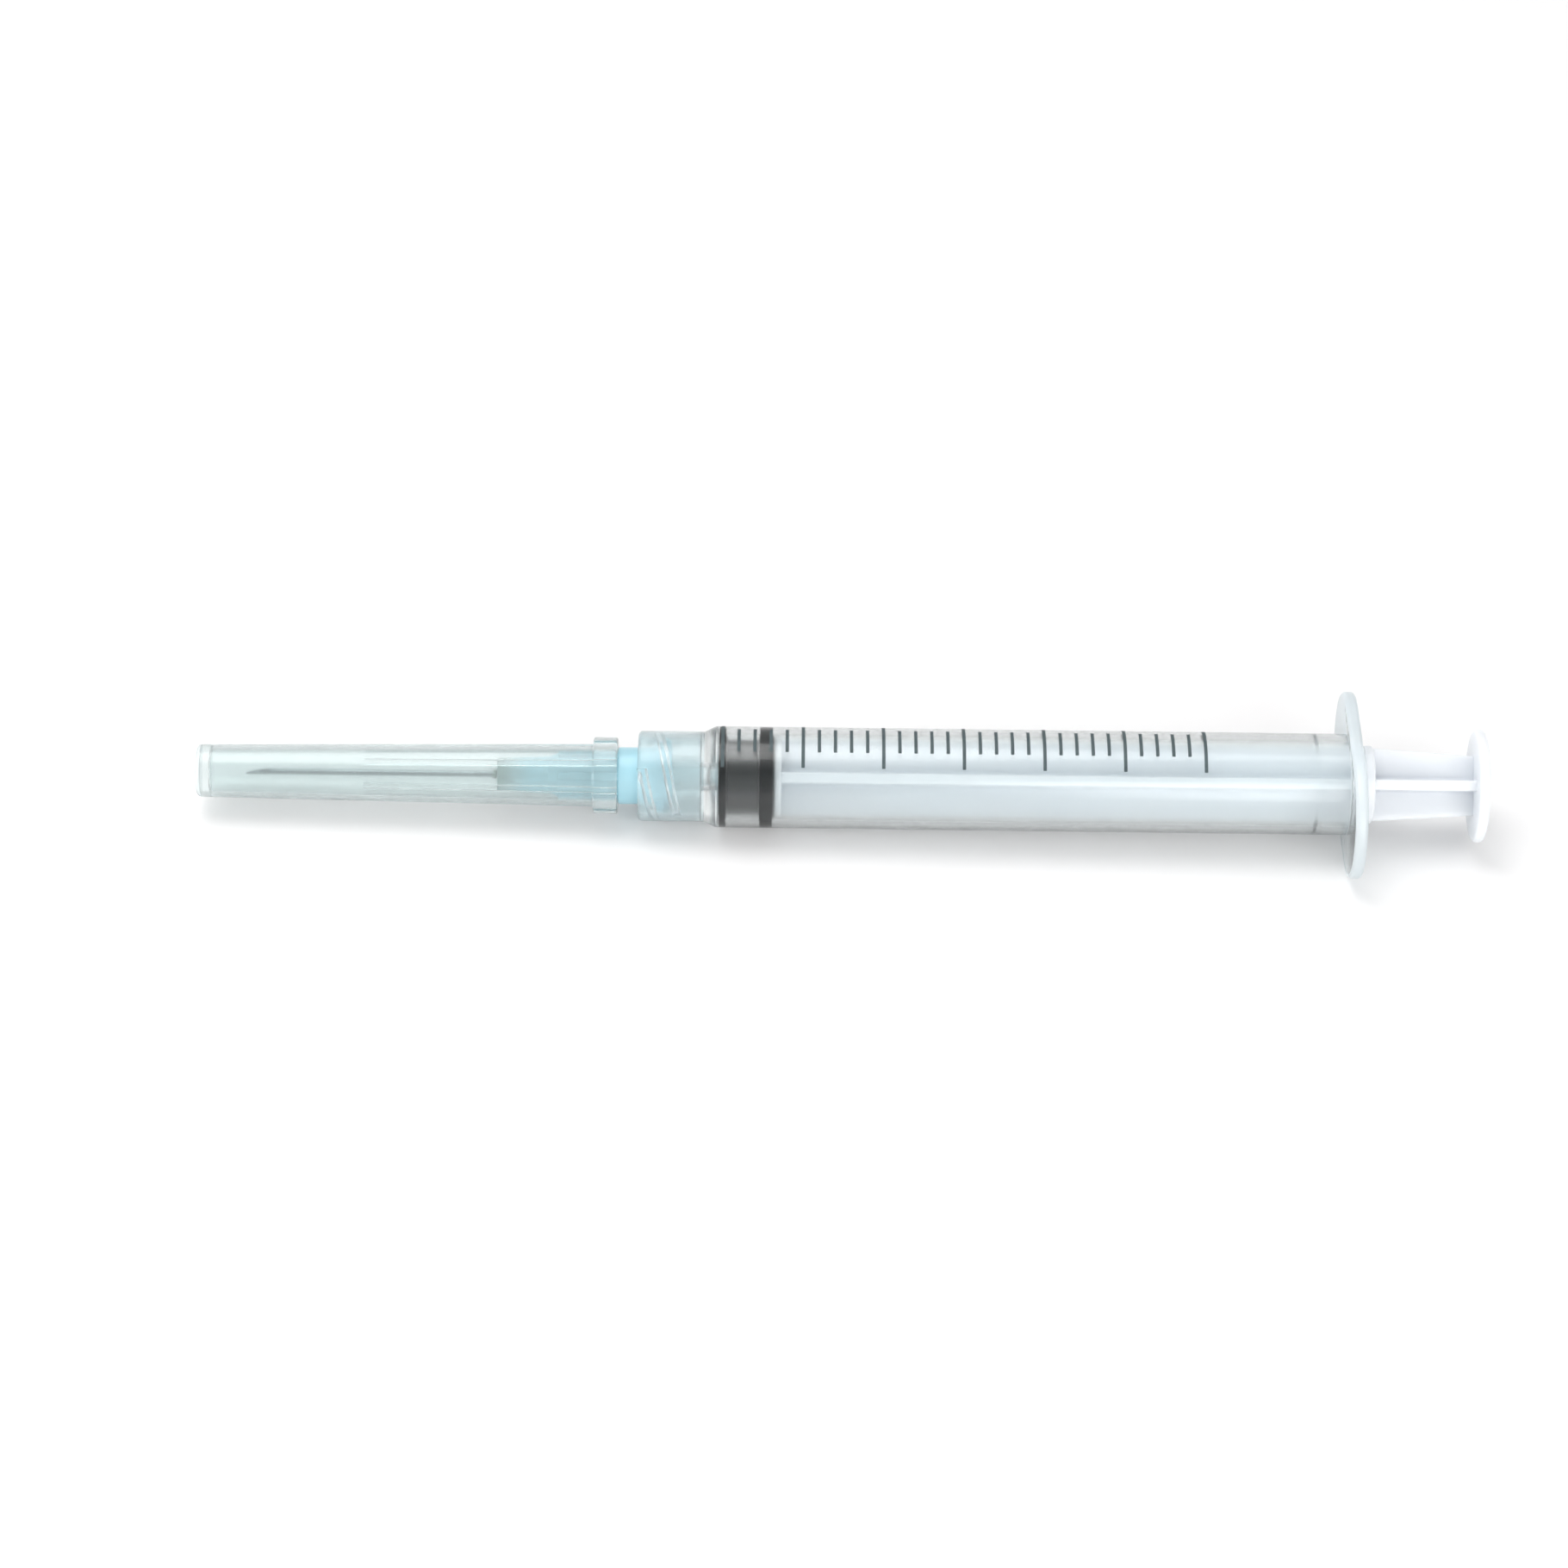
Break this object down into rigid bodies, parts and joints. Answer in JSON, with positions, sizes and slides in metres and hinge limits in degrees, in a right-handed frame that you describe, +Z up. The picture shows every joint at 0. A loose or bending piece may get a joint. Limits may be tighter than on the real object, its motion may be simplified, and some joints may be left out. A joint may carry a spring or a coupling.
{
  "type": "irrigation syringe",
  "caption": "Disposable syringe for irrigation, with a screw-on needle under a clear sheath, a printed scale, finger wings and a rubber stopper on a cross-ribbed plunger rod.",
  "frame": {"origin": "On the barrel's axis, at the front face of the finger flange.", "axes": "+X back along the axis to the thumb press, so the needle points along -X; +Y along one wing of the flange; +Z up through the middle of the printed scale."},
  "size_m": [0.1336, 0.023, 0.013],
  "materials": {
    "clear_barrel": "clear moulded polypropylene",
    "scale_ink": "black ink",
    "black_rubber": "smooth siliconed rubber",
    "milky_rod": "translucent white moulded plastic",
    "blue_hub": "translucent light blue moulded plastic",
    "needle_steel": "polished stainless tube",
    "cured_glue": "clear cured adhesive",
    "clear_sheath": "clear moulded polypropylene"
  },
  "bodies": {
    "barrel": {"barrel": "clear_barrel", "scale_print": "scale_ink"},
    "stopper": {"stopper": "black_rubber"},
    "plunger_rod": {"plunger_rod": "milky_rod"},
    "glue_ring": {"cannula_adhesive": "cured_glue"},
    "needle": {"needle_hub": "blue_hub", "cannula": "needle_steel"},
    "sheath": {"needle_sheath": "clear_sheath"}
  },
  "joints": [
    {"name": "plunger_slide", "type": "slide", "parent": "barrel", "child": "stopper", "axis": [1, 0, 0], "range_m": [0, 0.0555]},
    {"name": "rod_spin", "type": "hinge", "parent": "stopper", "child": "plunger_rod", "pos_m": [0, 0, 0], "axis": [1, 0, 0], "continuous": true},
    {"name": "needle_advance", "type": "slide", "parent": "barrel", "child": "glue_ring", "axis": [-1, 0, 0], "range_m": [0, 0.0075]},
    {"name": "needle_turn", "type": "hinge", "parent": "glue_ring", "child": "needle", "pos_m": [0, 0, 0], "axis": [-1, 0, 0], "range_deg": [0, 540]},
    {"name": "sheath_pull", "type": "slide", "parent": "needle", "child": "sheath", "axis": [-1, 0, 0], "range_m": [0, 0.045]}
  ],
  "couplings": [
    {"joint": "needle_turn", "follows": "needle_advance", "rad_per_m": 1256.6}
  ]
}
